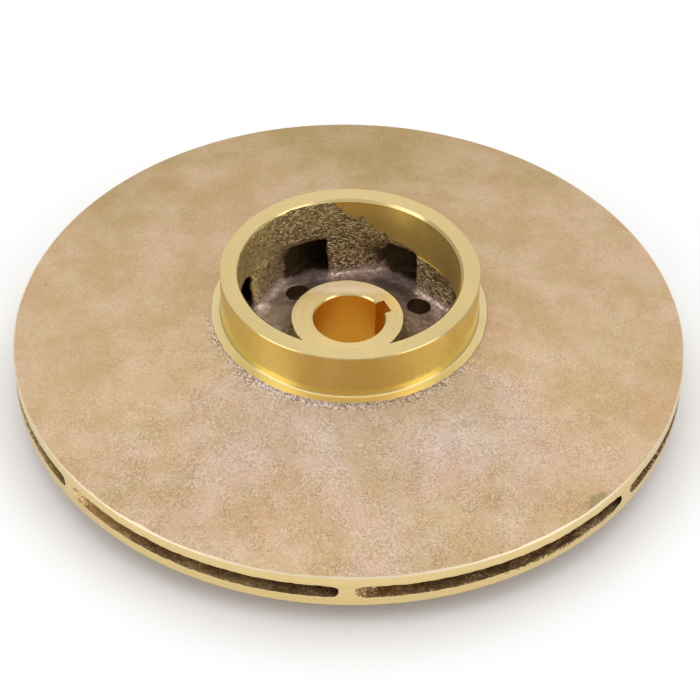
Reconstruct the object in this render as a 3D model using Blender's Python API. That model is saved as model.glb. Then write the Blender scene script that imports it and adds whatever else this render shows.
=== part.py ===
"""A closed centrifugal pump impeller, cast in bronze in one piece and then machined.

Metres, +Z up along the shaft, eye side up. The origin is on the shaft's axis, in the plane of the
back ring's face, on which the impeller rests.
"""

import math

import bmesh
import bpy

# Driving dimensions
OUTER_RADIUS = 0.12065
RIM_HEIGHT = 0.0134
RIM_CHAMFER = 0.0005
BACK_REACH = 0.010
STEPS = 72

# Outlet slots, measured up from the rim's lower edge
SLOT_FLOOR = 0.0039
SLOT_HEIGHT = 0.0054

# Eye ring, which runs in the pump's wear ring, measured up from the rim's lower edge
RING_RADIUS = 0.0461
RING_TOP = 0.0399
RING_BORE_RADIUS = 0.0393
RING_BORE_FLOOR = 0.0210
RING_BORE_CHAMFER = 0.0009
EDGE_CHAMFER = 0.0003
COLLAR_RADIUS = 0.0493
COLLAR_TOP = 0.0226
COLLAR_DROP = 0.0010
COVE_RADIUS = 0.0008
BACK_FOOT_RADIUS = 0.0015

# Sand core that shapes the waterway: it lay a little off the shaft's axis. The three floor points
# are a radius and a height over the slots' floor.
CORE_SHIFT = 0.0007
CORE_SHIFT_ANGLE = math.radians(160)
EYE_RADIUS = 0.0390
EYE_DRAFT = 0.0004
EYE_TURN_RADIUS = 0.0050
EYE_TURN_TOP = 0.0240
FLOOR_NEAR_HUB = 0.0066
FLOOR_OUTSIDE = (0.085, 0.0001)
FLOOR_MIDWAY = (0.055, 0.0006)
FLOOR_UNDER_EYE = (0.040, 0.0015)

# Vanes: each first follows the wall of the eye at its inlet angle, then turns to its blade angle,
# which grows from the main angle to the outlet angle at the rim. Its inlet edge leans with height.
VANE_COUNT = 7
VANE_THICKNESS = 0.0030
VANE_INLET_RADIUS = 0.0392
VANE_INLET_LEAN = 0.0016
VANE_INLET_TWIST = math.radians(2.0)
VANE_INLET_ANGLE = math.radians(5)
VANE_TURN_WRAP = math.radians(26)
VANE_MAIN_ANGLE = math.radians(23)
VANE_OUTLET_ANGLE = math.radians(33)
VANE_END_AZIMUTH = math.radians(-89.6)
VANE_STATIONS = 22
VANE_STATION_SPREAD = 1.3
SPIRAL_STEPS = 2000

# Hub, shaft bore and keyway
HUB_RADIUS = 0.0201
HUB_TOP = 0.0173
HUB_FOOT_RADIUS = 0.0050
HUB_FOOT_SPREAD = 0.0009
HUB_BACK_RECESS = 0.0005
BORE_RADIUS = 0.0127
BORE_CHAMFER = 0.00056
KEYWAY_WIDTH = 0.00635
KEYWAY_FLOOR_RADIUS = 0.0155
KEYWAY_AZIMUTH = math.radians(26.5)

# Balance holes
BALANCE_HOLE_COUNT = 4
BALANCE_HOLE_RADIUS = 0.0045
BALANCE_HOLE_CIRCLE = 0.0322
BALANCE_HOLE_AZIMUTH = math.radians(37)
BALANCE_HOLE_STEPS = 20

# How far a cutter runs past the faces that it cuts through
PAST = 0.004

# Points of a turned outline closer than this become one
MERGE_DISTANCE = 0.00001

# Finish
BRONZE_COLOUR = (0.62, 0.42, 0.19, 1.0)
BRONZE_ROUGHNESS = 0.42
SHARP_ANGLE = math.radians(30)


def remove_scene_objects():
    for obj in list(bpy.data.objects):
        bpy.data.objects.remove(obj, do_unlink=True)


def bronze():
    material = bpy.data.materials.new("bronze")
    material.use_nodes = True
    shader = material.node_tree.nodes["Principled BSDF"]
    shader.inputs["Base Color"].default_value = BRONZE_COLOUR
    shader.inputs["Roughness"].default_value = BRONZE_ROUGHNESS
    shader.inputs["Metallic"].default_value = 1.0
    return material


def object_from(name, mesh):
    obj = bpy.data.objects.new(name, mesh)
    bpy.context.scene.collection.objects.link(obj)
    return obj


def make_cutter(obj):
    obj.hide_render = True
    obj.display_type = "WIRE"
    return obj


def above_rim(height):
    """A height over the rim's lower edge, as a height in the part's own frame."""
    return BACK_REACH + height


def arc(centre, radius, start, end, count=5):
    """Points on an arc from one angle in degrees to the other, both ends included."""
    angles = [math.radians(start + (end - start) * i / (count - 1)) for i in range(count)]
    return [(centre[0] + radius * math.cos(a), centre[1] + radius * math.sin(a)) for a in angles]


def turned(name, outline, steps=STEPS):
    """A turned solid, from the radius and height of each point down its outer side."""
    mesh = bpy.data.meshes.new(name)
    edges = [(i, i + 1) for i in range(len(outline) - 1)]
    mesh.from_pydata([(radius, 0.0, height) for radius, height in outline], edges, [])
    obj = object_from(name, mesh)
    screw = obj.modifiers.new("turn", "SCREW")
    screw.axis = "Z"
    screw.steps = steps
    screw.render_steps = steps
    screw.use_merge_vertices = True
    screw.merge_threshold = MERGE_DISTANCE
    return obj


def cut(obj, cutter):
    boolean = obj.modifiers.new(cutter.name, "BOOLEAN")
    boolean.operation = "DIFFERENCE"
    boolean.solver = "EXACT"
    boolean.object = cutter


def front_shroud_height(radius):
    """The cast outer face of the front shroud: a shallow cone from the collar to the rim."""
    start = COLLAR_RADIUS + COLLAR_DROP
    share = (radius - start) / (OUTER_RADIUS - start)
    return above_rim((1 - share) * (COLLAR_TOP - COLLAR_DROP) + share * RIM_HEIGHT)


def eye_ring_outline():
    """From the middle of the top face, over the ring and its collar, to the front shroud."""
    top = above_rim(RING_TOP)
    cove = (RING_RADIUS + COVE_RADIUS, above_rim(COLLAR_TOP) + COVE_RADIUS)
    edge = COLLAR_RADIUS + COLLAR_DROP
    return [
        (0.0, top),
        (RING_RADIUS - EDGE_CHAMFER, top),
        (RING_RADIUS, top - EDGE_CHAMFER),
        *arc(cove, COVE_RADIUS, 180, 270, 3),
        (COLLAR_RADIUS, above_rim(COLLAR_TOP)),
        (edge, front_shroud_height(edge)),
    ]


def rim_outline():
    inner = OUTER_RADIUS - RIM_CHAMFER
    return [
        (inner, front_shroud_height(inner)),
        (OUTER_RADIUS, front_shroud_height(inner) - RIM_CHAMFER),
        (OUTER_RADIUS, above_rim(RIM_CHAMFER)),
        (inner, above_rim(0.0)),
    ]


def back_outline():
    """The plain back face, with a ring like the front one round the balance holes, and the hub."""
    face = above_rim(0.0)
    foot = BACK_FOOT_RADIUS
    outer = (RING_RADIUS + foot, face - foot)
    inner = (RING_BORE_RADIUS - foot, face - foot)
    return [
        *arc(outer, foot, 90, 180, 3),
        (RING_RADIUS, EDGE_CHAMFER),
        (RING_RADIUS - EDGE_CHAMFER, 0.0),
        (RING_BORE_RADIUS + EDGE_CHAMFER, 0.0),
        (RING_BORE_RADIUS, EDGE_CHAMFER),
        *arc(inner, foot, 0, 90, 3),
        *arc((HUB_RADIUS + foot, face - foot), foot, 90, 180, 3),
        (HUB_RADIUS, HUB_BACK_RECESS + EDGE_CHAMFER),
        (HUB_RADIUS - EDGE_CHAMFER, HUB_BACK_RECESS),
        (0.0, HUB_BACK_RECESS),
    ]


def waterway_core():
    """The space that the water fills, from above the eye down and out through the rim."""
    mouth = above_rim(RING_TOP) + PAST
    turn = (EYE_RADIUS + EYE_DRAFT + EYE_TURN_RADIUS, above_rim(EYE_TURN_TOP))
    past_rim = OUTER_RADIUS + PAST
    slot_top = SLOT_FLOOR + SLOT_HEIGHT
    ceiling_start = EYE_TURN_TOP - EYE_TURN_RADIUS
    slope = (ceiling_start - slot_top) / (OUTER_RADIUS - turn[0])
    foot_radius = HUB_RADIUS + HUB_FOOT_SPREAD + HUB_FOOT_RADIUS
    foot = (foot_radius, above_rim(FLOOR_NEAR_HUB) + HUB_FOOT_RADIUS)
    floor = (FLOOR_OUTSIDE, FLOOR_MIDWAY, FLOOR_UNDER_EYE)
    outline = [
        (0.0, mouth),
        (EYE_RADIUS, mouth),
        *arc(turn, EYE_TURN_RADIUS, 180, 270, 5),
        (past_rim, above_rim(slot_top - slope * PAST)),
        (past_rim, above_rim(SLOT_FLOOR)),
        *[(radius, above_rim(SLOT_FLOOR + height)) for radius, height in floor],
        *arc(foot, HUB_FOOT_RADIUS, 270, 180, 4),
        (HUB_RADIUS, above_rim(HUB_TOP)),
        (0.0, above_rim(HUB_TOP)),
    ]
    core = make_cutter(turned("waterway_core", outline))
    core.location.x = CORE_SHIFT * math.cos(CORE_SHIFT_ANGLE)
    core.location.y = CORE_SHIFT * math.sin(CORE_SHIFT_ANGLE)
    return core


def vane_spiral():
    """Radius and azimuth of the vane's middle line at each station, from its inlet edge outwards."""
    step = (OUTER_RADIUS + PAST - VANE_INLET_RADIUS) / SPIRAL_STEPS
    wrap = 0.0
    line = [(VANE_INLET_RADIUS, wrap)]
    for i in range(SPIRAL_STEPS):
        radius = VANE_INLET_RADIUS + step * (i + 0.5)
        share = (radius - VANE_INLET_RADIUS) / (OUTER_RADIUS - VANE_INLET_RADIUS)
        main_angle = VANE_MAIN_ANGLE + (VANE_OUTLET_ANGLE - VANE_MAIN_ANGLE) * share
        turn = min(1.0, wrap / VANE_TURN_WRAP)
        turned_share = turn ** 2 * (3 - 2 * turn)
        blade_angle = VANE_INLET_ANGLE + (main_angle - VANE_INLET_ANGLE) * turned_share
        wrap += step / (radius * math.tan(blade_angle))
        line.append((VANE_INLET_RADIUS + step * (i + 1), wrap))
    at_rim = next(azimuth for radius, azimuth in line if radius >= OUTER_RADIUS)
    stations = []
    for i in range(VANE_STATIONS):
        reach = wrap * (i / (VANE_STATIONS - 1)) ** VANE_STATION_SPREAD
        radius, azimuth = min(line, key=lambda point: abs(point[1] - reach))
        stations.append((radius, at_rim - azimuth))
    return stations


def vane_outline(spiral, lean):
    """The vane's outline seen from above, round at its inlet edge.

    Lean is 0 at the slots' floor and 1 at the top of the waterway.
    """
    middle = []
    for i, (radius, azimuth) in enumerate(spiral):
        leaning = lean * max(0.0, 1 - 2 * i / (VANE_STATIONS - 1)) ** 2
        out = radius + VANE_INLET_LEAN * leaning
        around = azimuth + VANE_INLET_TWIST * leaning
        middle.append((out * math.cos(around), out * math.sin(around)))
    left, right = [], []
    for i, (x, y) in enumerate(middle):
        before = middle[max(i - 1, 0)]
        after = middle[min(i + 1, len(middle) - 1)]
        along = math.atan2(after[1] - before[1], after[0] - before[0])
        side = (-math.sin(along) * VANE_THICKNESS / 2, math.cos(along) * VANE_THICKNESS / 2)
        left.append((x + side[0], y + side[1]))
        right.append((x - side[0], y - side[1]))
    (x0, y0), (x1, y1) = middle[:2]
    heading = math.degrees(math.atan2(y1 - y0, x1 - x0))
    nose = arc(middle[0], VANE_THICKNESS / 2, heading + 90, heading + 270, 5)[1:-1]
    return left[::-1] + nose + right


def add_vane(bm, azimuth):
    spiral = [(radius, angle + azimuth) for radius, angle in vane_spiral()]
    layers = []
    for height, lean in ((SLOT_FLOOR - PAST / 2, 0.0), (EYE_TURN_TOP, 1.0)):
        points = vane_outline(spiral, lean)
        layers.append([bm.verts.new((x, y, above_rim(height))) for x, y in points])
    low, high = layers
    count = len(low)
    bm.faces.new(high)
    bm.faces.new(low[::-1])
    for i in range(count):
        j = (i + 1) % count
        bm.faces.new((low[i], low[j], high[j], high[i]))


def vanes():
    """All seven vanes, standing clear of each other, taller than the waterway that they stand in."""
    bm = bmesh.new()
    for i in range(VANE_COUNT):
        add_vane(bm, VANE_END_AZIMUTH + 2 * math.pi * i / VANE_COUNT)
    bmesh.ops.recalc_face_normals(bm, faces=bm.faces)
    mesh = bpy.data.meshes.new("vanes")
    bm.to_mesh(mesh)
    bm.free()
    return make_cutter(object_from("vanes", mesh))


def ring_bore():
    top = above_rim(RING_TOP)
    reach = RING_BORE_CHAMFER + PAST
    outline = [
        (0.0, top + PAST),
        (RING_BORE_RADIUS + reach, top + PAST),
        (RING_BORE_RADIUS, top - RING_BORE_CHAMFER),
        (RING_BORE_RADIUS, above_rim(RING_BORE_FLOOR)),
        (0.0, above_rim(RING_BORE_FLOOR)),
    ]
    return make_cutter(turned("ring_bore", outline))


def shaft_bore():
    top = above_rim(HUB_TOP)
    wide = BORE_RADIUS + BORE_CHAMFER + PAST
    outline = [
        (0.0, top + PAST),
        (wide, top + PAST),
        (BORE_RADIUS, top - BORE_CHAMFER),
        (BORE_RADIUS, HUB_BACK_RECESS + BORE_CHAMFER),
        (wide, HUB_BACK_RECESS - PAST),
        (0.0, HUB_BACK_RECESS - PAST),
    ]
    return make_cutter(turned("shaft_bore", outline, STEPS // 2))


def keyway():
    bm = bmesh.new()
    bmesh.ops.create_cube(bm, size=1.0)
    length = above_rim(HUB_TOP) + 2 * PAST
    bmesh.ops.scale(bm, vec=(KEYWAY_FLOOR_RADIUS, KEYWAY_WIDTH, length), verts=bm.verts)
    bmesh.ops.translate(bm, vec=(KEYWAY_FLOOR_RADIUS / 2, 0.0, 0.0), verts=bm.verts)
    mesh = bpy.data.meshes.new("keyway")
    bm.to_mesh(mesh)
    bm.free()
    slot = make_cutter(object_from("keyway", mesh))
    slot.location.z = above_rim(HUB_TOP) / 2
    slot.rotation_euler.z = KEYWAY_AZIMUTH
    return slot


def balance_holes():
    top = above_rim(FLOOR_NEAR_HUB) + PAST
    bottom = above_rim(0.0) - PAST
    bm = bmesh.new()
    for i in range(BALANCE_HOLE_COUNT):
        azimuth = BALANCE_HOLE_AZIMUTH + 2 * math.pi * i / BALANCE_HOLE_COUNT
        made = bmesh.ops.create_cone(
            bm,
            cap_ends=True,
            segments=BALANCE_HOLE_STEPS,
            radius1=BALANCE_HOLE_RADIUS,
            radius2=BALANCE_HOLE_RADIUS,
            depth=top - bottom,
        )
        x = BALANCE_HOLE_CIRCLE * math.cos(azimuth)
        y = BALANCE_HOLE_CIRCLE * math.sin(azimuth)
        bmesh.ops.translate(bm, vec=(x, y, (top + bottom) / 2), verts=made["verts"])
    mesh = bpy.data.meshes.new("balance_holes")
    bm.to_mesh(mesh)
    bm.free()
    return make_cutter(object_from("balance_holes", mesh))


def impeller():
    core = waterway_core()
    cut(core, vanes())
    casting = turned("impeller", eye_ring_outline() + rim_outline() + back_outline())
    for cutter in (core, ring_bore(), shaft_bore(), keyway(), balance_holes()):
        cut(casting, cutter)
    casting.data.materials.append(bronze())
    casting.data.shade_smooth()
    casting.data.set_sharp_from_angle(angle=SHARP_ANGLE)
    return casting


remove_scene_objects()
impeller()
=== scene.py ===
"""The looks of a cast bronze pump impeller, built as a foundry and a lathe would make it.

A rough blank is poured round a sand core, which leaves the eye, the channels and the vanes. Then
smooth cutting tools turn the rim, the eye ring and the hub, so that each border between rough and
turned metal falls where the two surfaces really meet.
"""

import math

import bmesh
import bpy
import numpy as np
from mathutils import Matrix, Vector, noise


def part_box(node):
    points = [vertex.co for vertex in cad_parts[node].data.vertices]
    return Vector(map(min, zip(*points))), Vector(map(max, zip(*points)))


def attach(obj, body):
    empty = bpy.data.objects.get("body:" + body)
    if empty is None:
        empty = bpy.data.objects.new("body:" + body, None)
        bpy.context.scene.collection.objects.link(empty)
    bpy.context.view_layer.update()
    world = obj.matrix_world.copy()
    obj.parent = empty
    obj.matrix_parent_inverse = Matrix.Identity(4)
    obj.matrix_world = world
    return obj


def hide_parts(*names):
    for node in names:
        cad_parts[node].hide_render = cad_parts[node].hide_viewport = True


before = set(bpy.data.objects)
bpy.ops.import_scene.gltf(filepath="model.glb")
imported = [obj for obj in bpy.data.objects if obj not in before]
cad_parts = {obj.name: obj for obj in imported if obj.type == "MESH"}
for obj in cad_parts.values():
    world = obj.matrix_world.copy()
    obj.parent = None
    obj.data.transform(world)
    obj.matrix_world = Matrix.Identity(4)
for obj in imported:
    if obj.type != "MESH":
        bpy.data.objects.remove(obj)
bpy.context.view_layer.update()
_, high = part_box("impeller")

MM = 0.001

# Main sizes, from the frame
OUTER_RADIUS = high.x
RING_TOP = high.z

# Heights over the rest plane and radii, as on the solid
RIM_LOWER_EDGE = 10.0 * MM
RIM_UPPER_EDGE = RIM_LOWER_EDGE + 13.4 * MM
RIM_CHAMFER = 0.55 * MM
RING_RADIUS = 46.1 * MM
RING_BORE_RADIUS = 39.3 * MM
RING_BORE_FLOOR = RIM_LOWER_EDGE + 21.0 * MM
RING_BORE_CHAMFER = 0.9 * MM
EDGE_CHAMFER = 0.3 * MM
COLLAR_RADIUS = 49.3 * MM
COLLAR_TOP = RIM_LOWER_EDGE + 22.6 * MM
COLLAR_DROP = 1.0 * MM
COVE_RADIUS = 0.8 * MM
HUB_RADIUS = 20.1 * MM
HUB_TOP = RIM_LOWER_EDGE + 17.3 * MM
HUB_BACK = 0.5 * MM
HUB_FOOT_RADIUS = 5.0 * MM
SHAFT_BORE_RADIUS = 12.7 * MM
SHAFT_BORE_CHAMFER = 0.56 * MM
KEYWAY_WIDTH = 6.35 * MM
KEYWAY_FLOOR_RADIUS = 15.5 * MM
KEYWAY_AZIMUTH = math.radians(26.5)
BALANCE_HOLE_RADIUS = 4.5 * MM
BALANCE_HOLE_CIRCLE = 32.2 * MM
BALANCE_HOLE_AZIMUTH = math.radians(37)
BALANCE_HOLE_COUNT = 4

# Sand core, which lay off the axis, more so at its mouth
CORE_SHIFT = 0.7 * MM
MOUTH_SHIFT = 1.0 * MM
CORE_SHIFT_ANGLE = math.radians(160)
EYE_RADIUS = 38.8 * MM
EYE_DRAFT = 0.55 * MM
EYE_WALL = EYE_RADIUS + EYE_DRAFT
CORE_CENTRE = np.array([math.cos(CORE_SHIFT_ANGLE), math.sin(CORE_SHIFT_ANGLE)]) * CORE_SHIFT
EYE_TURN_RADIUS = 5.0 * MM
EYE_TURN_TOP = RIM_LOWER_EDGE + 24.0 * MM
SLOT_FLOOR = RIM_LOWER_EDGE + 3.9 * MM
SLOT_TOP = RIM_LOWER_EDGE + 9.3 * MM
FLOOR_NEAR_HUB = RIM_LOWER_EDGE + 6.6 * MM

# Vanes
VANE_COUNT = 7
VANE_THICKNESS = 2.8 * MM
VANE_FILLET = 1.7 * MM
VANE_INLET_RADIUS = 39.2 * MM
VANE_INLET_LEAN = 1.6 * MM
VANE_INLET_TWIST = math.radians(2.0)
VANE_INLET_ANGLE = math.radians(5)
VANE_TURN_WRAP = math.radians(26)
VANE_MAIN_ANGLE = math.radians(23)
VANE_OUTLET_ANGLE = math.radians(33)
VANE_END_AZIMUTH = math.radians(-89.6)
VANE_STATIONS = 64
VANE_STATION_SPREAD = 1.3
FLUSH_GAPS = (1.2 * MM, 5.0 * MM)

# Metal that the tools take off, and how far a tool runs past the blank
ALLOWANCE = 1.0 * MM
PAST = 4.0 * MM

# How far the coarse grain outside the collar is turned to the left
COLLAR_GRAIN_TURN = 0.25

# The lower lip of the front right slot, where the core crumbled
ROUGH_LIP_AZIMUTHS = (-72, -64, -44, -41)
ROUGH_LIP_RADIUS = 112 * MM
ROUGH_LIP_HEIGHT = 1.5 * MM
ROUGH_LIP_GAIN = 1.2

# The oval stain near the rim: its middle, and its width over its length
STAIN_X = 83.5 * MM
STAIN_Y = -84.5 * MM
STAIN_SLIMNESS = 0.33

# Camera, as fitted to the circles in the photograph
CAMERA_PLACE = (0.0, -582.9 * MM, RIM_LOWER_EDGE + 543.5 * MM)
CAMERA_PITCH = 0.74914
CAMERA_YAW = 0.0006
CAMERA_ROLL = 0.01824
FOCAL_PIXELS = 2178.0
IMAGE_PIXELS = 700
SENSOR = 36.0

# Corners closer together than this are one corner
WELD_REACH = 0.001 * MM

# How finely the meshes are made
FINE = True
CAST_STEPS = 360 if FINE else 180
CORE_STEPS = 240 if FINE else 160
CORE_GRAIN = 0.6 * MM if FINE else 1.0 * MM
CORE_WEAR = 4 if FINE else 2
CORE_TRIANGLES = 100000 if FINE else 40000
TOOL_STEPS = 300
SHAFT_STEPS = 128
DRILL_STEPS = 48
CREASE_ANGLE = math.radians(34)
FLAT_FACE = 0.9995


# Meshes

def arc(centre, radius, start, end, count):
    """Points on an arc from one angle in degrees to the other, both ends included."""
    angles = [math.radians(start + (end - start) * i / (count - 1)) for i in range(count)]
    return [(centre[0] + radius * math.cos(a), centre[1] + radius * math.sin(a)) for a in angles]


def dense(outline, spacing):
    """The same outline with points no further apart than spacing."""
    points = [outline[0]]
    for (r0, z0), (r1, z1) in zip(outline, outline[1:]):
        count = max(1, math.ceil(math.hypot(r1 - r0, z1 - z0) / spacing))
        for i in range(1, count + 1):
            points.append((r0 + (r1 - r0) * i / count, z0 + (z1 - z0) * i / count))
    return points


def new_object(name, points, faces, material):
    mesh = bpy.data.meshes.new(name)
    mesh.from_pydata(points, [], faces)
    mesh.materials.append(material)
    obj = bpy.data.objects.new(name, mesh)
    bpy.context.scene.collection.objects.link(obj)
    return obj


def turned(name, outline, steps, material, centre=(0.0, 0.0)):
    """A turned solid from the radius and height of points down its outer side, ends on the axis."""
    rings = outline[1:-1]
    angles = np.arange(steps) * 2 * math.pi / steps
    radius = np.array([r for r, z in rings])[:, None]
    x = centre[0] + radius * np.cos(angles)
    y = centre[1] + radius * np.sin(angles)
    z = np.repeat(np.array([z for r, z in rings])[:, None], steps, axis=1)
    points = np.stack([x, y, z], axis=2).reshape(-1, 3)
    poles = [(*centre, outline[0][1]), (*centre, outline[-1][1])]
    points = np.concatenate([points, poles])
    here = np.arange(len(rings) * steps).reshape(len(rings), steps)
    after = np.roll(here, -1, axis=1)
    quads = np.stack([here[:-1], here[1:], after[1:], after[:-1]], axis=2).reshape(-1, 4)
    top, bottom = len(points) - 2, len(points) - 1
    caps = [(top, int(a), int(b)) for a, b in zip(here[0], after[0])]
    caps += [(bottom, int(b), int(a)) for a, b in zip(here[-1], after[-1])]
    return new_object(name, points.tolist(), quads.tolist() + caps, material)


def turned_ring(name, outline, material):
    """A turned ring from its whole outline, which stays clear of the axis and runs anticlockwise."""
    count = len(outline)
    angles = np.arange(TOOL_STEPS) * 2 * math.pi / TOOL_STEPS
    radius = np.array([r for r, z in outline])[:, None]
    z = np.repeat(np.array([z for r, z in outline])[:, None], TOOL_STEPS, axis=1)
    points = np.stack([radius * np.cos(angles), radius * np.sin(angles), z], axis=2).reshape(-1, 3)
    here = np.arange(count * TOOL_STEPS).reshape(count, TOOL_STEPS)
    below = np.roll(here, -1, axis=0)
    quads = np.stack([here, np.roll(here, -1, axis=1), np.roll(below, -1, axis=1), below], axis=2)
    return new_object(name, points.tolist(), quads.reshape(-1, 4).tolist(), material)


def roughen(obj, waves, calm=None):
    """Moves each point along its normal by the sum of noise waves, each a (size, height) pair.

    Where calm is given, it scales the height by the point's place.
    """
    mesh = obj.data
    count = len(mesh.vertices)
    points = np.empty(count * 3, np.float32)
    normals = np.empty(count * 3, np.float32)
    mesh.vertices.foreach_get("co", points)
    mesh.vertex_normals.foreach_get("vector", normals)
    points = points.reshape(-1, 3)
    normals = normals.reshape(-1, 3)
    moved = np.zeros(count, np.float32)
    for i, (size, height) in enumerate(waves):
        shift = Vector((17.3 * i, -9.1 * i, 4.7 * i))
        moved += [height * noise.noise(Vector(p) + shift) for p in (points / size).tolist()]
    if calm:
        moved *= calm(points)
    mesh.vertices.foreach_set("co", (points + normals * moved[:, None]).reshape(-1))
    mesh.update()


def apply(obj, modifier):
    bpy.context.view_layer.objects.active = obj
    bpy.ops.object.modifier_apply(modifier=modifier.name)


def cut(obj, tool):
    boolean = obj.modifiers.new("cut", "BOOLEAN")
    boolean.operation = "DIFFERENCE"
    boolean.solver = "MANIFOLD"
    boolean.material_mode = "TRANSFER"
    boolean.object = tool
    apply(obj, boolean)
    bpy.data.objects.remove(tool, do_unlink=True)


def round_off(obj, grain, passes):
    """Meshes the object again in even cells of this size and wears its edges down."""
    remesh = obj.modifiers.new("even", "REMESH")
    remesh.mode = "VOXEL"
    remesh.voxel_size = grain
    apply(obj, remesh)
    smooth = obj.modifiers.new("worn", "SMOOTH")
    smooth.factor = 0.5
    smooth.iterations = passes
    apply(obj, smooth)


def thin_out(obj, triangles):
    """Merges faces where the surface is flattest, down to this many triangles."""
    mesh = obj.data
    decimate = obj.modifiers.new("thin", "DECIMATE")
    decimate.ratio = min(1.0, triangles / sum(len(face.vertices) - 2 for face in mesh.polygons))
    apply(obj, decimate)


# The blank and its core

def shroud_height(radius):
    """The cast outer face of the front shroud: a shallow cone from the collar to the rim."""
    start = COLLAR_RADIUS + COLLAR_DROP
    share = (radius - start) / (OUTER_RADIUS - start)
    return (1 - share) * (COLLAR_TOP - COLLAR_DROP) + share * RIM_UPPER_EDGE


def floor_height(radius):
    """The channels' floor, from the hub's foot out to the slots."""
    radii = [r * MM for r in (26.0, 33.0, 40.0, 55.0, 85.0, 125.0)]
    heights = [6.6, 6.0, 5.4, 4.5, 4.0, 3.9]
    return RIM_LOWER_EDGE + float(np.interp(radius, radii, heights)) * MM


def ceiling_height(radius):
    """The channels' ceiling: a cone from the slots inwards, turned up into the eye's wall."""
    start = EYE_RADIUS + EYE_DRAFT + EYE_TURN_RADIUS
    low_point = EYE_TURN_TOP - EYE_TURN_RADIUS
    if radius < start:
        inward = min(start - radius, EYE_TURN_RADIUS)
        return EYE_TURN_TOP - math.sqrt(EYE_TURN_RADIUS**2 - inward**2)
    share = (radius - start) / (OUTER_RADIUS - start)
    return (1 - share) * low_point + share * SLOT_TOP


def blank(material):
    """The casting as it leaves the sand, with the allowance still on the faces to be turned."""
    top = RING_TOP + ALLOWANCE
    stock = COLLAR_RADIUS - 0.4 * MM
    foot = COLLAR_RADIUS + 1.4 * MM
    past = OUTER_RADIUS + ALLOWANCE
    ring_outer = RING_RADIUS + 1.3 * MM
    ring_inner = RING_BORE_RADIUS - 0.4 * MM
    face = RIM_LOWER_EDGE
    fillet = 1.8 * MM
    outline = [
        (0.0, top),
        (stock, top),
        *dense([(COLLAR_RADIUS, COLLAR_TOP + 1.2 * MM), (COLLAR_RADIUS + 0.1 * MM, COLLAR_TOP),
                (COLLAR_RADIUS + 0.5 * MM, COLLAR_TOP - 0.8 * MM), (foot, shroud_height(foot))],
               0.7 * MM),
        *dense([(56 * MM, shroud_height(56 * MM)), (past, shroud_height(past))], 1.7 * MM),
        (past, face),
        *dense([(OUTER_RADIUS - 1.5 * MM, face), (ring_outer + fillet, face)], 3.5 * MM),
        *arc((ring_outer + fillet, face - fillet), fillet, 100, 180, 5),
        (ring_outer, -ALLOWANCE),
        (ring_inner, -ALLOWANCE),
        *arc((ring_inner - fillet, face - fillet), fillet, 0, 90, 6),
        *dense([(ring_inner - fillet - 1.5 * MM, face), (HUB_RADIUS + fillet + 0.5 * MM, face)],
               2.5 * MM),
        *arc((HUB_RADIUS + fillet, face - fillet), fillet, 90, 180, 6),
        (HUB_RADIUS, -ALLOWANCE),
        (0.0, -ALLOWANCE),
    ]
    return turned("impeller_casting", outline, CAST_STEPS, material)


def core(material):
    """The sand core: the eye and the flat space between the shrouds, the vanes left out of it."""
    mouth = RING_TOP + PAST
    turn = (EYE_RADIUS + EYE_DRAFT + EYE_TURN_RADIUS, EYE_TURN_TOP)
    past = OUTER_RADIUS + PAST
    hub_top = HUB_TOP + ALLOWANCE
    foot = (HUB_RADIUS + 0.9 * MM + HUB_FOOT_RADIUS, FLOOR_NEAR_HUB + HUB_FOOT_RADIUS)
    ceiling = [r * MM for r in np.arange(46.0, 120, 3.0)]
    floor = [r * MM for r in np.arange(120, 42, -3.0)] + [r * MM for r in np.arange(42, 27, -1.4)]
    outline = [
        (0.0, mouth),
        (EYE_RADIUS, mouth),
        *dense([(EYE_RADIUS, RING_TOP), (EYE_RADIUS + EYE_DRAFT, EYE_TURN_TOP + 0.6 * MM)], 1.0 * MM),
        *arc(turn, EYE_TURN_RADIUS, 180, 270, 9),
        *[(r, ceiling_height(r)) for r in ceiling],
        (past, ceiling_height(past)),
        (past, floor_height(past)),
        *[(r, floor_height(r)) for r in floor],
        *arc(foot, HUB_FOOT_RADIUS, 270, 180, 7),
        *dense([(HUB_RADIUS + 0.3 * MM, HUB_TOP - 1.5 * MM), (HUB_RADIUS, hub_top)], 1.2 * MM),
        (0.0, hub_top),
    ]
    made = turned("core", outline, CORE_STEPS, material)
    points = np.empty(len(made.data.vertices) * 3, np.float32)
    made.data.vertices.foreach_get("co", points)
    points = points.reshape(-1, 3)
    heights = [EYE_TURN_TOP - EYE_TURN_RADIUS, RING_TOP]
    shift = np.interp(points[:, 2], heights, [CORE_SHIFT, MOUTH_SHIFT])
    points[:, 0] += shift * math.cos(CORE_SHIFT_ANGLE)
    points[:, 1] += shift * math.sin(CORE_SHIFT_ANGLE)
    made.data.vertices.foreach_set("co", points.reshape(-1))
    made.data.update()
    return made


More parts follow.
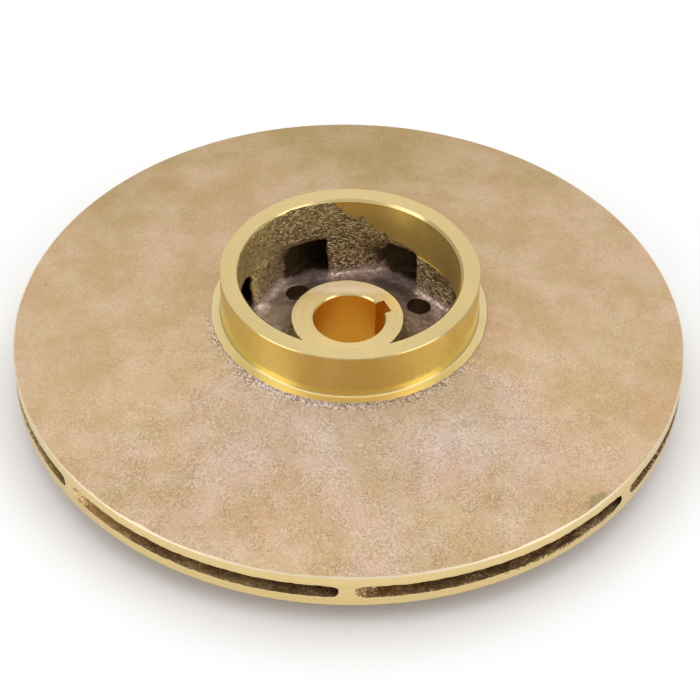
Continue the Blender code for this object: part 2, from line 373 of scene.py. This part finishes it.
def vane_line():
    """Radius and azimuth along the vane's middle line, from its inlet edge to past the rim."""
    steps = 4000
    step = (OUTER_RADIUS + PAST - VANE_INLET_RADIUS) / steps
    radii, wraps = [VANE_INLET_RADIUS], [0.0]
    for i in range(steps):
        radius = VANE_INLET_RADIUS + step * (i + 0.5)
        share = (radius - VANE_INLET_RADIUS) / (OUTER_RADIUS - VANE_INLET_RADIUS)
        main_angle = VANE_MAIN_ANGLE + (VANE_OUTLET_ANGLE - VANE_MAIN_ANGLE) * share
        turn = min(1.0, wraps[-1] / VANE_TURN_WRAP)
        blade_angle = VANE_INLET_ANGLE + (main_angle - VANE_INLET_ANGLE) * turn**2 * (3 - 2 * turn)
        wraps.append(wraps[-1] + step / (radius * math.tan(blade_angle)))
        radii.append(VANE_INLET_RADIUS + step * (i + 1))
    at_rim = np.interp(OUTER_RADIUS, radii, wraps)
    reach = wraps[-1] * np.linspace(0, 1, VANE_STATIONS) ** VANE_STATION_SPREAD
    return np.interp(reach, wraps, radii), at_rim - reach


def passage_half(radii):
    """Half of the channel's height, less a little, so that the layers keep their order."""
    return np.array([(ceiling_height(r) - floor_height(r)) / 2 - 0.1 * MM for r in radii])


def flare(height):
    """How much a casting fillet widens a vane at this height over the floor or under the ceiling."""
    if height >= VANE_FILLET:
        return 0.0
    return VANE_FILLET - math.sqrt(VANE_FILLET**2 - (VANE_FILLET - max(height, 0.0))**2)


def vane_loop(radii, azimuths, lean, widen, flush):
    """The vane's outline in one layer.

    Flush is how far its side towards the eye is drawn to the eye's wall, where it is near to it.
    """
    near = np.clip(1 - 2 * np.arange(VANE_STATIONS) / (VANE_STATIONS - 1), 0, None) ** 2
    reach = radii + VANE_INLET_LEAN * near * lean
    around = azimuths + VANE_INLET_TWIST * near * lean
    middle = np.stack([reach * np.cos(around), reach * np.sin(around)], axis=1)
    along = np.gradient(middle, axis=0)
    along /= np.linalg.norm(along, axis=1)[:, None]
    side = np.stack([-along[:, 1], along[:, 0]], axis=1)
    half = VANE_THICKNESS / 2 + widen
    heading = math.atan2(along[0, 1], along[0, 0])
    turns = [heading + math.radians(a) for a in (105, 125, 145, 165, 180, 195, 215, 235, 255)]
    nose = [middle[0] + half * np.array([math.cos(a), math.sin(a)]) for a in turns]
    inner = np.concatenate([nose, middle - side * half])
    out = np.linalg.norm(inner - CORE_CENTRE, axis=1)
    gap = out - EYE_WALL
    pull = np.interp(gap, FLUSH_GAPS, [1.0, 0.0]) * flush
    inner = CORE_CENTRE + (inner - CORE_CENTRE) * ((out - gap * pull) / out)[:, None]
    return np.concatenate([(middle + side * half)[::-1], inner])


def vane_layers():
    """Each layer's height over the floor or under the ceiling, its lean, widening and flushness."""
    over_floor = [(-1.5 * MM, 0.0), (0.0, 0.0), (0.2 * MM, 0.0), (0.7 * MM, 0.05),
                  (VANE_FILLET, 0.1)]
    under_ceiling = [(5.0 * MM, 0.65, 0.0), (2.8 * MM, 0.8, 0.8), (1.2 * MM, 0.9, 1.0),
                     (0.4 * MM, 0.95, 1.0), (0.0, 1.0, 1.0), (-1.5 * MM, 1.0, 1.0)]
    layers = [(height, False, lean, flare(height), 0.0) for height, lean in over_floor]
    layers += [(height, True, lean, flare(height), flush) for height, lean, flush in under_ceiling]
    return layers


def vanes(material):
    """All vanes as one mesh, each a stack of layers that widen into fillets at both shrouds."""
    radii, azimuths = vane_line()
    layers = vane_layers()
    points, faces = [], []
    for k in range(VANE_COUNT):
        turned_by = azimuths + VANE_END_AZIMUTH + 2 * math.pi * k / VANE_COUNT
        for j, (height, hangs, lean, widen, flush) in enumerate(layers):
            plan = vane_loop(radii, turned_by, lean, widen, flush)
            out = np.linalg.norm(plan - CORE_CENTRE, axis=1)
            if hangs:
                z = np.array([ceiling_height(r) for r in out]) - np.minimum(height, passage_half(out))
            else:
                z = np.array([floor_height(r) for r in out]) + height
            count = len(plan)
            start = len(points)
            points.extend(np.column_stack([plan, z]).tolist())
            if j:
                below = start - count
                for i in range(count):
                    n = (i + 1) % count
                    faces.append((below + i, below + n, start + n, start + i))
            else:
                faces.append(tuple(range(start, start + count))[::-1])
        faces.append(tuple(range(start, start + count)))
    return new_object("vanes", points, faces, material)


# The cutting tools

def rim_tool(material):
    """Turns the rim true and breaks its two edges."""
    inner = OUTER_RADIUS - RIM_CHAMFER
    upper = shroud_height(inner)
    outline = [
        (OUTER_RADIUS + PAST, upper + PAST),
        (inner - PAST, upper + PAST),
        (inner, upper + 0.04 * MM),
        (OUTER_RADIUS, upper - RIM_CHAMFER),
        (OUTER_RADIUS, RIM_LOWER_EDGE + EDGE_CHAMFER),
        (OUTER_RADIUS - EDGE_CHAMFER, RIM_LOWER_EDGE),
        (OUTER_RADIUS - EDGE_CHAMFER - PAST, RIM_LOWER_EDGE - PAST),
        (OUTER_RADIUS + PAST, RIM_LOWER_EDGE - PAST),
    ]
    return turned_ring("rim_tool", outline, material)


def ring_tool(material):
    """Turns the eye ring's outside and faces the collar at its foot."""
    cove = (RING_RADIUS + COVE_RADIUS, COLLAR_TOP + COVE_RADIUS)
    wide = COLLAR_RADIUS + PAST
    outline = [
        (wide, RING_TOP + 2 * PAST),
        (RING_RADIUS - EDGE_CHAMFER - PAST, RING_TOP + PAST),
        (RING_RADIUS - EDGE_CHAMFER, RING_TOP),
        (RING_RADIUS, RING_TOP - EDGE_CHAMFER),
        *arc(cove, COVE_RADIUS, 180, 270, 6),
        (wide, COLLAR_TOP),
    ]
    return turned_ring("ring_tool", outline, material)


def facing_tool(name, height, past, radius, material):
    """Faces everything beyond a height flat, out to a radius."""
    ends = (height + past, height) if past > 0 else (height, height + past)
    outline = [(0.0, ends[0]), (radius, ends[0]), (radius, ends[1]), (0.0, ends[1])]
    return turned(name, outline, TOOL_STEPS, material)


def bore_tool(material):
    """Bores the eye ring smooth, true to the shaft, and chamfers its mouth."""
    reach = RING_BORE_CHAMFER + PAST
    outline = [
        (0.0, RING_TOP + PAST),
        (RING_BORE_RADIUS + reach, RING_TOP + PAST),
        (RING_BORE_RADIUS, RING_TOP - RING_BORE_CHAMFER),
        (RING_BORE_RADIUS, RING_BORE_FLOOR),
        (0.0, RING_BORE_FLOOR),
    ]
    return turned("bore_tool", outline, TOOL_STEPS, material)


def shaft_tool(material):
    wide = SHAFT_BORE_RADIUS + SHAFT_BORE_CHAMFER + PAST
    outline = [
        (0.0, HUB_TOP + PAST),
        (wide, HUB_TOP + PAST),
        (SHAFT_BORE_RADIUS, HUB_TOP - SHAFT_BORE_CHAMFER),
        (SHAFT_BORE_RADIUS, HUB_BACK + SHAFT_BORE_CHAMFER),
        (wide, HUB_BACK - PAST),
        (0.0, HUB_BACK - PAST),
    ]
    return turned("shaft_tool", outline, SHAFT_STEPS, material)


def keyway_tool(material):
    length, half = KEYWAY_FLOOR_RADIUS, KEYWAY_WIDTH / 2
    bottom, top = HUB_BACK - PAST, HUB_TOP + PAST
    plan = [(0.0, -half), (length, -half), (length, half), (0.0, half)]
    points = [(x, y, bottom) for x, y in plan] + [(x, y, top) for x, y in plan]
    faces = [(3, 2, 1, 0), (4, 5, 6, 7)]
    faces += [(i, (i + 1) % 4, (i + 1) % 4 + 4, i + 4) for i in range(4)]
    made = new_object("keyway_tool", points, faces, material)
    made.data.transform(Matrix.Rotation(KEYWAY_AZIMUTH, 4, "Z"))
    return made


def balance_drills(material):
    made = []
    for i in range(BALANCE_HOLE_COUNT):
        azimuth = BALANCE_HOLE_AZIMUTH + 2 * math.pi * i / BALANCE_HOLE_COUNT
        centre = (BALANCE_HOLE_CIRCLE * math.cos(azimuth), BALANCE_HOLE_CIRCLE * math.sin(azimuth))
        top, bottom = FLOOR_NEAR_HUB + PAST, RIM_LOWER_EDGE - PAST
        radius = BALANCE_HOLE_RADIUS
        outline = [(0.0, top), (radius, top), (radius, bottom), (0.0, bottom)]
        made.append(turned(f"balance_drill_{i + 1}", outline, DRILL_STEPS, material, centre))
    return made


def back_ring_tool(material):
    """Turns the back ring's outside, from below."""
    wide = RING_RADIUS + 5 * MM
    face = RIM_LOWER_EDGE - 1.0 * MM
    cove = (RING_RADIUS + COVE_RADIUS, face - COVE_RADIUS)
    outline = [
        (wide, face),
        *arc(cove, COVE_RADIUS, 90, 180, 5),
        (RING_RADIUS, EDGE_CHAMFER),
        (RING_RADIUS - EDGE_CHAMFER, 0.0),
        (RING_RADIUS - EDGE_CHAMFER - PAST, -PAST),
        (wide, -PAST),
    ]
    return turned_ring("back_ring_tool", outline, material)


def machine(casting, material):
    cut(casting, rim_tool(material))
    cut(casting, ring_tool(material))
    cut(casting, facing_tool("ring_facing", RING_TOP, PAST, RING_RADIUS + PAST, material))
    cut(casting, bore_tool(material))
    cut(casting, facing_tool("hub_facing", HUB_TOP, PAST, HUB_RADIUS + 1.5 * MM, material))
    cut(casting, shaft_tool(material))
    cut(casting, keyway_tool(material))
    for drill in balance_drills(material):
        cut(casting, drill)
    cut(casting, back_ring_tool(material))
    cut(casting, facing_tool("back_facing", 0.0, -PAST, RING_RADIUS + PAST, material))
    cut(casting, facing_tool("hub_back_facing", HUB_BACK, -PAST, HUB_RADIUS + 4 * MM, material))


def clean(casting):
    """Triangles only, without the pairs of slivers that the cuts leave back to back."""
    shape = bmesh.new()
    shape.from_mesh(casting.data)
    bmesh.ops.remove_doubles(shape, verts=shape.verts, dist=WELD_REACH)
    bmesh.ops.triangulate(shape, faces=shape.faces, quad_method="BEAUTY", ngon_method="BEAUTY")
    shape.verts.index_update()
    by_corners = {}
    for face in shape.faces:
        by_corners.setdefault(frozenset(corner.index for corner in face.verts), []).append(face)
    slivers = [face for pair in by_corners.values() if len(pair) > 1 for face in pair]
    bmesh.ops.delete(shape, geom=slivers, context="FACES_ONLY")
    loose_edges = [edge for edge in shape.edges if not edge.link_faces]
    bmesh.ops.delete(shape, geom=loose_edges, context="EDGES")
    loose_points = [point for point in shape.verts if not point.link_edges]
    bmesh.ops.delete(shape, geom=loose_points, context="VERTS")
    shape.to_mesh(casting.data)
    shape.free()


def shade(casting):
    """Smooth shading, but for flat turned faces, whose corners would tint a whole face."""
    mesh = casting.data
    mesh.shade_smooth()
    mesh.set_sharp_from_angle(angle=CREASE_ANGLE)
    turned_slot = mesh.materials.find("turned_bronze")
    for face in mesh.polygons:
        if face.material_index == turned_slot and abs(face.normal.z) > FLAT_FACE:
            face.use_smooth = False


# Materials

class Nodes:
    """A material's node tree, with short calls for the nodes that these finishes need."""

    def __init__(self, name):
        self.material = bpy.data.materials.new(name)
        self.material.use_nodes = True
        self.tree = self.material.node_tree
        self.shader = self.tree.nodes["Principled BSDF"]
        place = self.tree.nodes.new("ShaderNodeTexCoord")
        self.place = place.outputs["Object"]

    def link(self, value, socket):
        if hasattr(value, "links"):
            self.tree.links.new(value, socket)
        elif isinstance(value, tuple) and len(value) == 3 and socket.type == "RGBA":
            socket.default_value = (*value, 1.0)
        else:
            socket.default_value = value

    def noise(self, size, detail=3.0, rough=0.55, shape=None, seed=0.0):
        """Fractal noise between 0 and 1 whose coarsest grain has this size."""
        node = self.tree.nodes.new("ShaderNodeTexNoise")
        node.noise_dimensions = "4D"
        self.link(shape or self.place, node.inputs["Vector"])
        node.inputs["W"].default_value = seed
        node.inputs["Scale"].default_value = 1 / size
        node.inputs["Detail"].default_value = detail
        node.inputs["Roughness"].default_value = rough
        return node.outputs["Fac"]

    def math(self, kind, a, b=0.0, clamp=False):
        node = self.tree.nodes.new("ShaderNodeMath")
        node.operation = kind
        node.use_clamp = clamp
        self.link(a, node.inputs[0])
        self.link(b, node.inputs[1])
        return node.outputs[0]

    def times(self, a, b):
        return self.math("MULTIPLY", a, b)

    def plus(self, a, b):
        return self.math("ADD", a, b)

    def rest(self, share):
        return self.math("SUBTRACT", 1.0, share)

    def ramp(self, value, low, high, out_low=0.0, out_high=1.0):
        """Maps low..high to out_low..out_high in a smooth step."""
        node = self.tree.nodes.new("ShaderNodeMapRange")
        node.interpolation_type = "SMOOTHSTEP"
        self.link(value, node.inputs["Value"])
        node.inputs["From Min"].default_value = low
        node.inputs["From Max"].default_value = high
        node.inputs["To Min"].default_value = out_low
        node.inputs["To Max"].default_value = out_high
        return node.outputs["Result"]

    def mix(self, share, a, b, kind="MIX"):
        node = self.tree.nodes.new("ShaderNodeMix")
        node.data_type = "RGBA"
        node.blend_type = kind
        self.link(share, node.inputs["Factor"])
        self.link(a, node.inputs["A"])
        self.link(b, node.inputs["B"])
        return node.outputs["Result"]

    def tint(self, share, colour, factors):
        """The colour times these factors, by this share."""
        return self.mix(share, colour, self.mix(1.0, colour, factors, "MULTIPLY"))

    def axes(self):
        split = self.tree.nodes.new("ShaderNodeSeparateXYZ")
        self.link(self.place, split.inputs[0])
        return split.outputs

    def radius(self):
        x, y, z = self.axes()
        return self.distance(x, y)

    def distance(self, a, b):
        return self.math("SQRT", self.plus(self.times(a, a), self.times(b, b)))

    def stretched(self, *factors):
        """The place with its axes scaled, for grain that is shorter one way."""
        node = self.tree.nodes.new("ShaderNodeVectorMath")
        node.operation = "MULTIPLY"
        self.link(self.place, node.inputs[0])
        node.inputs[1].default_value = factors
        return node.outputs[0]

    def bump(self, height, distance, strength=1.0, under=None):
        node = self.tree.nodes.new("ShaderNodeBump")
        self.link(height, node.inputs["Height"])
        node.inputs["Distance"].default_value = distance
        self.link(strength, node.inputs["Strength"])
        if under:
            self.link(under, node.inputs["Normal"])
        return node.outputs["Normal"]

    def finish(self, colour, roughness, metallic, normal=None):
        self.link(colour, self.shader.inputs["Base Color"])
        self.link(roughness, self.shader.inputs["Roughness"])
        self.link(metallic, self.shader.inputs["Metallic"])
        if normal:
            self.link(normal, self.shader.inputs["Normal"])
        return self.material


def cast_bronze():
    """Blasted casting skin: tan with ochre and pink clouds, painted shade behind, a painted sheen in
    front, and grain of painted pit shade and glints, strongest in front.
    """
    n = Nodes("cast_bronze")
    x, y, z = n.axes()
    radius = n.radius()
    wander = n.noise(50 * MM, 3, 0.5, seed=21.0)
    coarse = n.noise(2.6 * MM, 3, 0.6, seed=3.0)
    clouds = n.ramp(n.noise(26 * MM, 5, 0.68), 0.38, 0.62)
    tints = n.ramp(n.noise(19 * MM, 5, 0.7, seed=31.0), 0.36, 0.64)
    patches = n.ramp(n.noise(11 * MM, 5, 0.65, seed=5.0), 0.50, 0.70)
    colour = n.mix(clouds, (0.562, 0.384, 0.196), (0.646, 0.468, 0.300))
    pinks = n.mix(tints, (0.985, 1.007, 0.980), (1.025, 0.987, 1.025))
    colour = n.mix(1.0, colour, pinks, "MULTIPLY")
    colour = n.mix(n.times(patches, 0.5), colour, (0.560, 0.375, 0.190))

    # Painted shade: darker and greener behind. Painted sheen: paler and cooler in front, most so near
    # the eye ring
    behind = n.plus(y, n.ramp(wander, 0.3, 0.7, -25 * MM, 25 * MM))
    colour = n.tint(n.ramp(behind, 45 * MM, 120 * MM), colour, (0.80, 0.81, 0.65))
    before = n.plus(n.plus(radius, y), n.ramp(wander, 0.3, 0.7, -20 * MM, 20 * MM))
    front_sheen_mask = n.ramp(before, 40 * MM, -5 * MM)
    colour = n.tint(front_sheen_mask, colour, (0.950, 0.955, 1.06))
    near = n.plus(radius, n.ramp(wander, 0.3, 0.7, -8 * MM, 8 * MM))
    near = n.times(front_sheen_mask, n.ramp(near, 95 * MM, 58 * MM))
    colour = n.tint(near, colour, (0.99, 1.05, 1.20))

    # An oval stain along the rim, in front on the right
    across = n.plus(n.math("SUBTRACT", x, y), STAIN_Y - STAIN_X)
    along = n.times(n.plus(n.plus(x, y), -STAIN_X - STAIN_Y), STAIN_SLIMNESS)
    away = n.plus(n.distance(across, along), n.ramp(coarse, 0.3, 0.7, -1.2 * MM, 1.2 * MM))
    stain = n.ramp(away, 3.8 * MM, 1.4 * MM, 0.0, 0.85)
    colour = n.tint(stain, colour, (0.58, 0.66, 0.58))

    # Specks of painted pit shade and painted glints, sparse behind and in patches, and coarse along
    # the front of the collar, with bluish-white painted glints there
    collar = n.times(n.ramp(radius, 53.5 * MM, 50.5 * MM), n.ramp(z, 22 * MM, 26 * MM))
    collar = n.times(collar, n.ramp(n.plus(y, n.times(x, COLLAR_GRAIN_TURN)), -8 * MM, -26 * MM))
    grain = n.noise(0.6 * MM, 2, 0.6, seed=2.0)
    patchy = n.ramp(n.noise(7 * MM, 3, 0.6, seed=41.0), 0.36, 0.62, 0.4, 1.35)
    strength = n.times(n.ramp(before, 60 * MM, 0.0, 0.45, 1.0), patchy)
    strength = n.math("MAXIMUM", strength, collar)
    speck_pit_shade = n.mix(collar, (0.79, 0.78, 0.75), (0.40, 0.36, 0.32))
    speck_glint = n.mix(collar, (1.17, 1.17, 1.18), (1.45, 1.55, 1.75))
    speck = n.math("SUBTRACT", n.ramp(grain, 0.32, 0.68), 0.5)
    speck = n.plus(n.times(speck, strength), 0.5)
    colour = n.mix(1.0, colour, n.mix(speck, speck_pit_shade, speck_glint), "MULTIPLY")
    roughness = n.ramp(grain, 0.35, 0.7, 0.58, 0.40)
    normal = n.bump(grain, 0.25 * MM, strength, n.bump(coarse, 0.2 * MM, strength))
    return n.finish(colour, roughness, 0.45, normal)


def core_bronze():
    """Skin that lay against the sand core. Blasting reached only the eye and the slots' mouths, and
    painted shade darkens the channels.
    """
    n = Nodes("core_bronze")
    radius = n.radius()
    x, y, z = n.axes()
    grain = n.noise(1.1 * MM, 3, 0.6, n.stretched(1.0, 1.0, 1.9), seed=7.0)
    clouds = n.ramp(n.noise(11 * MM, 4, 0.6, seed=9.0), 0.38, 0.62)

    # Gold on the eye's wall and in the slots, grey on the floor
    gold = n.mix(clouds, (0.40, 0.30, 0.140), (0.55, 0.43, 0.210))
    grey = n.mix(clouds, (0.40, 0.320, 0.262), (0.50, 0.405, 0.345))
    wall = n.ramp(n.plus(z, n.times(clouds, 3 * MM)), 18 * MM, 27 * MM)
    wall = n.math("MAXIMUM", wall, n.ramp(radius, 100 * MM, 110 * MM))
    blasted = n.mix(wall, grey, gold)

    # Painted shade low on the wall, painted light on its left side, and a painted highlight as a pale
    # line along its foot
    low_wall_shade = n.times(n.ramp(z, 41 * MM, 29 * MM), n.ramp(x, -30 * MM, -16 * MM))
    blasted = n.tint(low_wall_shade, blasted, (0.68, 0.62, 0.66))
    left = n.times(n.ramp(x, -26 * MM, -36 * MM), wall)
    blasted = n.tint(left, blasted, (1.65, 1.65, 1.55))
    foot = n.ramp(n.plus(radius, n.times(clouds, 3 * MM)), 35.5 * MM, 38.5 * MM)
    over_floor = n.ramp(n.plus(z, n.times(clouds, 2 * MM)), 17.5 * MM, 20 * MM)
    foot = n.times(foot, n.rest(over_floor))
    blasted = n.tint(foot, blasted, (1.9, 1.95, 2.0))

    # Painted shade in pits and painted glints on grains, lively over the floor and faint on it
    lively = n.math("MAXIMUM", n.math("MAXIMUM", over_floor, n.times(foot, 0.5)), 0.12)
    painted_pit_shade = n.times(n.ramp(grain, 0.46, 0.34), lively)
    painted_glints = n.ramp(grain, 0.50, 0.56)
    blasted = n.tint(painted_pit_shade, blasted, (0.35, 0.30, 0.24))
    painted_glint_colour = n.mix(over_floor, (0.95, 0.82, 0.70), (1.0, 0.89, 0.55))
    blasted = n.mix(n.times(painted_glints, lively), blasted, painted_glint_colour)

    # Darker skin inside the channels, deepened with painted shade, lighter and warmer towards the
    # slots, with painted glints there
    channel_dark_and_shade = n.mix(clouds, (0.065, 0.040, 0.020), (0.110, 0.072, 0.036))
    at_slot = n.ramp(radius, 98 * MM, 112 * MM)
    warm = n.mix(clouds, (0.235, 0.120, 0.040), (0.360, 0.195, 0.072))
    channel_dark_and_shade = n.mix(at_slot, channel_dark_and_shade, warm)
    channel_dark_and_shade = n.mix(n.times(n.ramp(grain, 0.53, 0.58), at_slot), channel_dark_and_shade, (0.95, 0.70, 0.38))
    edge = n.plus(radius, n.ramp(clouds, 0.0, 1.0, -1 * MM, 1 * MM))
    inside = n.ramp(edge, 41.2 * MM, 43.6 * MM)
    outside = n.ramp(edge, 112 * MM, 121 * MM, 0.0, 0.36)
    hidden = n.math("SUBTRACT", inside, outside, clamp=True)
    colour = n.mix(hidden, blasted, channel_dark_and_shade)

    dull = n.math("MAXIMUM", hidden, n.times(n.rest(wall), 0.6))
    roughness = n.plus(n.ramp(grain, 0.4, 0.62, 0.50, 0.22), n.times(dull, 0.3))
    lumps = n.noise(2.4 * MM, 3, 0.65, seed=8.0)
    coarse = n.bump(lumps, 0.6 * MM, n.ramp(lively, 0.1, 0.6, 0.35, 1.0))
    normal = n.bump(grain, 0.6 * MM, lively, coarse)
    return n.finish(colour, roughness, 0.9, normal)


def turned_bronze():
    """Turned metal with the tool's fine grooves round the shaft's axis, deeper gold in the bores, but
    painted shade on the balance holes' walls.
    """
    n = Nodes("turned_bronze")
    radius = n.radius()
    x, y, z = n.axes()
    line = n.tree.nodes.new("ShaderNodeCombineXYZ")
    n.link(n.plus(radius, z), line.inputs["X"])
    grooves = n.noise(0.3 * MM, 2, 0.5, line.outputs[0], seed=11.0)
    bands = n.ramp(n.noise(3.0 * MM, 2, 0.5, line.outputs[0], seed=12.0), 0.35, 0.65)
    stains = n.ramp(n.noise(11 * MM, 4, 0.6, seed=13.0), 0.5, 0.75)
    normals = n.tree.nodes.new("ShaderNodeSeparateXYZ")
    n.link(n.place.node.outputs["Normal"], normals.inputs[0])
    upright = n.ramp(n.math("ABSOLUTE", normals.outputs["Z"]), 0.5, 0.2)
    level = n.rest(upright)

    # Upright faces from the axis outwards: shaft bore, hub, eye, and the ring's outside
    eye = n.mix(bands, (0.860, 0.660, 0.205), (0.880, 0.690, 0.225))
    # Painted reflection: the ring's outside is brighter and yellower towards its right and left
    side = n.mix(n.ramp(x, 12 * MM, 34 * MM), (0.820, 0.605, 0.185), (0.960, 0.810, 0.270))
    side = n.mix(n.ramp(x, -12 * MM, -26 * MM), side, (0.900, 0.770, 0.255))
    # Painted shade: the balance holes' drilled walls are dark brown
    bored = n.mix(n.ramp(radius, 22 * MM, 25 * MM), (0.930, 0.550, 0.075), (0.400, 0.260, 0.150))
    bored = n.mix(n.ramp(radius, 37 * MM, 38.5 * MM), bored, eye)
    bored = n.mix(n.ramp(radius, 43 * MM, 45 * MM), bored, side)

    # Level faces: painted shade in front, and a pinkish-white painted highlight on the hub's far side
    faced = n.mix(bands, (0.765, 0.580, 0.265), (0.790, 0.610, 0.290))
    on_ring = n.ramp(radius, 60 * MM, 50 * MM)
    front = n.times(n.ramp(y, -12 * MM, -30 * MM), on_ring)
    faced = n.tint(front, faced, (0.90, 0.91, 0.90))
    behind = n.times(n.ramp(y, 12.0 * MM, 15.5 * MM), n.ramp(radius, 22 * MM, 21 * MM))
    faced = n.mix(behind, faced, (0.96, 0.78, 0.58))
    colour = n.mix(n.times(upright, on_ring), faced, bored)
    border = n.times(level, n.ramp(radius, 46.3 * MM, 46.9 * MM))
    # Painted highlight: the rim's chamfers are pale cream
    edge = n.times(level, n.ramp(radius, 100 * MM, 110 * MM))
    colour = n.mix(border, colour, n.mix(edge, (0.80, 0.65, 0.36), (0.93, 0.79, 0.58)))
    colour = n.mix(n.times(stains, 0.3), colour, (0.74, 0.53, 0.19))

    # Dark crumbs on the rim, at the lower lip of the front right slot
    lip = n.times(n.ramp(z, 12.2 * MM, 13.9 * MM), n.ramp(z, 16 * MM, 15 * MM))
    across = n.times(n.ramp(x, 46 * MM, 62 * MM), n.ramp(y, -76 * MM, -82 * MM))
    lip = n.times(n.times(lip, across), n.ramp(radius, 118 * MM, 119 * MM))
    crumbs = n.plus(n.noise(0.9 * MM, 2, 0.6, seed=14.0), n.times(lip, 0.26))
    crumbs = n.times(n.ramp(crumbs, 0.64, 0.69), n.ramp(lip, 0.0, 0.3))
    colour = n.mix(crumbs, colour, (0.26, 0.15, 0.06))

    inner = n.times(upright, n.ramp(radius, 43 * MM, 42 * MM))
    roughness = n.plus(n.ramp(grooves, 0.3, 0.7, 0.20, 0.27), n.times(stains, 0.05))
    roughness = n.plus(roughness, n.times(n.math("MAXIMUM", border, inner), 0.13))
    roughness = n.plus(roughness, n.times(edge, 0.2))
    normal = n.bump(grooves, 0.006 * MM)
    tangent = n.tree.nodes.new("ShaderNodeTangent")
    tangent.direction_type = "RADIAL"
    tangent.axis = "Z"
    n.link(tangent.outputs[0], n.shader.inputs["Tangent"])
    n.shader.inputs["Anisotropic"].default_value = 0.6
    n.shader.inputs["Anisotropic Rotation"].default_value = 0.25
    return n.finish(colour, roughness, 1.0, normal)


# The impeller

def core_roughness(points):
    """How rough the core is.

    It is smoother at the hub, where the ring is bored into it, and out of sight in the channels,
    and roughest at the lower lip of the front right slot.
    """
    radius = np.hypot(points[:, 0], points[:, 1])
    azimuth = np.arctan2(points[:, 1], points[:, 0])
    away = np.abs(azimuth - CORE_SHIFT_ANGLE)
    bored = np.interp(away, np.radians([35, 60, 300, 325]), [1.0, 0.3, 0.3, 1.0])
    bored = np.where(points[:, 2] > RING_BORE_FLOOR - 1 * MM, bored, 1.0)
    inside = np.interp(radius, [22 * MM, 26 * MM, 46 * MM, 54 * MM, 108 * MM, 114 * MM],
                       [0.25, 1.0, 1.0, 0.3, 0.3, 1.0])
    lip = np.interp(np.degrees(azimuth), ROUGH_LIP_AZIMUTHS, [0.0, 1.0, 1.0, 0.0])
    at_lip = (radius > ROUGH_LIP_RADIUS) & (points[:, 2] < SLOT_FLOOR + ROUGH_LIP_HEIGHT)
    return bored * inside * (1 + ROUGH_LIP_GAIN * np.where(at_lip, lip, 0.0))


def collar_roughness(points):
    """A band of coarse grain on the blank just outside the collar, coarsest in front."""
    radius = np.hypot(points[:, 0], points[:, 1])
    band = np.interp(radius, [49.0 * MM, 49.4 * MM, 51.0 * MM, 54.0 * MM], [0.0, 1.0, 1.0, 0.0])
    depth = points[:, 1] + COLLAR_GRAIN_TURN * points[:, 0]
    front = np.interp(depth, [-26 * MM, -8 * MM], [1.0, 0.3])
    return np.where(points[:, 2] > RIM_UPPER_EDGE, band * front, 0.0)


def impeller():
    cast, sand, bright = cast_bronze(), core_bronze(), turned_bronze()
    casting = blank(cast)
    roughen(casting, [(9 * MM, 0.16 * MM), (3.4 * MM, 0.16 * MM)])
    roughen(casting, [(1.9 * MM, 0.35 * MM)], collar_roughness)
    waterway = core(sand)
    ribs = vanes(sand)

    cut(waterway, ribs)
    round_off(waterway, CORE_GRAIN, CORE_WEAR)
    roughen(waterway, [(9 * MM, 0.2 * MM), (3.2 * MM, 0.3 * MM), (1.6 * MM, 0.2 * MM)], core_roughness)
    thin_out(waterway, CORE_TRIANGLES)
    cut(casting, waterway)
    machine(casting, bright)
    clean(casting)
    shade(casting)
    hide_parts("impeller")
    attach(casting, "root")


# Stage

def camera():
    pitch, yaw, roll = CAMERA_PITCH, CAMERA_YAW, CAMERA_ROLL
    forward = Vector((0, math.cos(pitch), -math.sin(pitch)))
    up = Vector((0, math.sin(pitch), math.cos(pitch)))
    right = Vector((1, 0, 0))
    forward, right = (forward * math.cos(yaw) + right * math.sin(yaw),
                      right * math.cos(yaw) - forward * math.sin(yaw))
    right, up = (right * math.cos(roll) + up * math.sin(roll),
                 up * math.cos(roll) - right * math.sin(roll))
    data = bpy.data.cameras.new("camera")
    data.sensor_width = SENSOR
    data.lens = FOCAL_PIXELS * SENSOR / IMAGE_PIXELS
    data.clip_start = 0.01
    data.clip_end = 20
    obj = bpy.data.objects.new("camera", data)
    turn = Matrix((right, up, -forward)).transposed()
    obj.matrix_world = Matrix.Translation(CAMERA_PLACE) @ turn.to_4x4()
    bpy.context.scene.collection.objects.link(obj)
    bpy.context.scene.camera = obj


def floor():
    size = 6.0
    points = [(-size, -size, 0), (size, -size, 0), (size, size, 0), (-size, size, 0)]
    paint = Nodes("floor")
    paint.finish((0.97, 0.97, 0.97), 0.9, 0.0)
    new_object("floor", points, [(0, 1, 2, 3)], paint.material)


def area_light(name, place, target, size, power):
    data = bpy.data.lights.new(name, "AREA")
    data.shape = "RECTANGLE"
    data.size, data.size_y = size
    data.energy = power
    obj = bpy.data.objects.new(name, data)
    aim = (Vector(target) - Vector(place)).to_track_quat("-Z", "Y")
    obj.matrix_world = Matrix.Translation(place) @ aim.to_matrix().to_4x4()
    bpy.context.scene.collection.objects.link(obj)


def panel(name, place, size, radiance):
    """A soft box that faces the impeller and adds this radiance where it is reflected."""
    width, height = size
    area_light(name, place, (0, 0, 0.02), size, radiance * math.pi * width * height)


def lights():
    world = bpy.data.worlds.new("studio")
    world.use_nodes = True
    world.node_tree.nodes["Background"].inputs["Color"].default_value = (1, 1, 1, 1)
    world.node_tree.nodes["Background"].inputs["Strength"].default_value = 0.52
    bpy.context.scene.world = world
    panel("overhead", (0.0, 0.1, 1.5), (2.0, 2.0), 1.05)
    panel("back", (0.0, 1.6, 1.3), (2.6, 1.3), 0.35)
    panel("left", (-1.4, -0.75, 0.8), (0.9, 1.4), 1.6)
    panel("right", (1.4, -0.75, 0.8), (0.9, 1.4), 1.5)
    bpy.context.scene.view_settings.view_transform = "Standard"


camera()
floor()
lights()
impeller()
